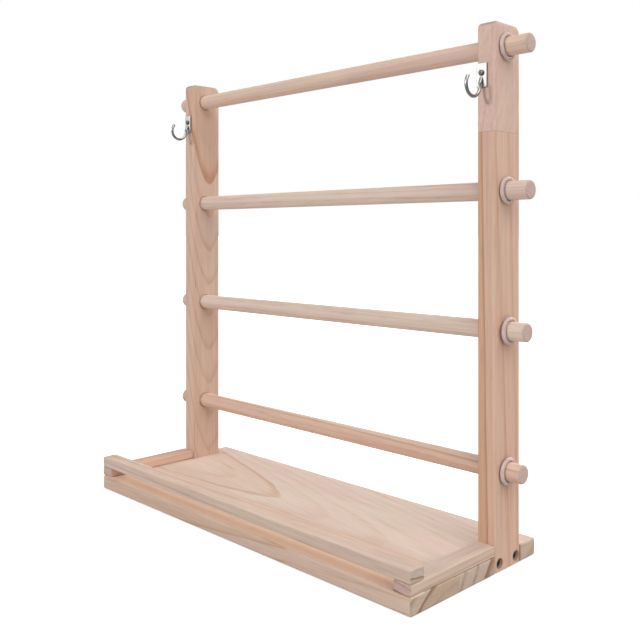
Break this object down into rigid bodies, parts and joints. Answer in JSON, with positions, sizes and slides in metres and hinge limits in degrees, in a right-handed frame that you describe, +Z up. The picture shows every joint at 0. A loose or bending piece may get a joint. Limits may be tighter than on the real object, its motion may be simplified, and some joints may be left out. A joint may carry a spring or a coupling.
{
  "type": "spool rack",
  "caption": "Wooden standing rack with horizontal rods between two posts, a base tray with a thread slot, and small hooks.",
  "frame": {"origin": "centre of the base board's underside, on the surface that the rack stands on", "axes": "+X to the right along the rods, -Y the front with the front strip and the hooks, +Z up"},
  "size_m": [0.481, 0.172, 0.458],
  "materials": {
    "base_pine": "raw planed pine, unvarnished",
    "post_pine": "raw planed pine, unvarnished",
    "rod_pine": "raw sanded dowel",
    "ring_rubber": "soft pale rubber, satin",
    "nickel": "bright nickel plate",
    "screw_zinc": "zinc plated steel"
  },
  "bodies": {
    "frame": {"base_board": "base_pine", "side_strip_left": "base_pine", "side_strip_right": "base_pine", "front_strip": "base_pine", "post_left": "post_pine", "post_right": "post_pine", "foot_screw_left_front": "screw_zinc", "foot_screw_left_rear": "screw_zinc", "foot_screw_right_front": "screw_zinc", "foot_screw_right_rear": "screw_zinc", "hook_left": "nickel", "hook_right": "nickel", "hook_screw_left": "screw_zinc", "hook_screw_right": "screw_zinc"},
    "rod_1": {"rod_1": "rod_pine"},
    "ring_right_1": {"ring_right_1": "ring_rubber"},
    "ring_left_1": {"ring_left_1": "ring_rubber"},
    "rod_2": {"rod_2": "rod_pine"},
    "ring_right_2": {"ring_right_2": "ring_rubber"},
    "ring_left_2": {"ring_left_2": "ring_rubber"},
    "rod_3": {"rod_3": "rod_pine"},
    "ring_right_3": {"ring_right_3": "ring_rubber"},
    "ring_left_3": {"ring_left_3": "ring_rubber"},
    "rod_4": {"rod_4": "rod_pine"},
    "ring_right_4": {"ring_right_4": "ring_rubber"},
    "ring_left_4": {"ring_left_4": "ring_rubber"}
  },
  "joints": [
    {"name": "rod_1_draw_out", "type": "slide", "parent": "frame", "child": "ring_right_1", "axis": [1, 0, 0], "range_m": [0, 0.465]},
    {"name": "rod_1_turn", "type": "hinge", "parent": "ring_right_1", "child": "rod_1", "pos_m": [0, 0.04, 0.0825], "axis": [1, 0, 0], "continuous": true},
    {"name": "ring_left_1_pull_off", "type": "slide", "parent": "frame", "child": "ring_left_1", "axis": [-1, 0, 0], "range_m": [0, 0.035]},
    {"name": "rod_2_draw_out", "type": "slide", "parent": "frame", "child": "ring_right_2", "axis": [1, 0, 0], "range_m": [0, 0.465]},
    {"name": "rod_2_turn", "type": "hinge", "parent": "ring_right_2", "child": "rod_2", "pos_m": [0, 0.04, 0.2], "axis": [1, 0, 0], "continuous": true},
    {"name": "ring_left_2_pull_off", "type": "slide", "parent": "frame", "child": "ring_left_2", "axis": [-1, 0, 0], "range_m": [0, 0.035]},
    {"name": "rod_3_draw_out", "type": "slide", "parent": "frame", "child": "ring_right_3", "axis": [1, 0, 0], "range_m": [0, 0.465]},
    {"name": "rod_3_turn", "type": "hinge", "parent": "ring_right_3", "child": "rod_3", "pos_m": [0, 0.04, 0.3175], "axis": [1, 0, 0], "continuous": true},
    {"name": "ring_left_3_pull_off", "type": "slide", "parent": "frame", "child": "ring_left_3", "axis": [-1, 0, 0], "range_m": [0, 0.035]},
    {"name": "rod_4_draw_out", "type": "slide", "parent": "frame", "child": "ring_right_4", "axis": [1, 0, 0], "range_m": [0, 0.465]},
    {"name": "rod_4_turn", "type": "hinge", "parent": "ring_right_4", "child": "rod_4", "pos_m": [0, 0.04, 0.438], "axis": [1, 0, 0], "continuous": true},
    {"name": "ring_left_4_pull_off", "type": "slide", "parent": "frame", "child": "ring_left_4", "axis": [-1, 0, 0], "range_m": [0, 0.035]}
  ]
}
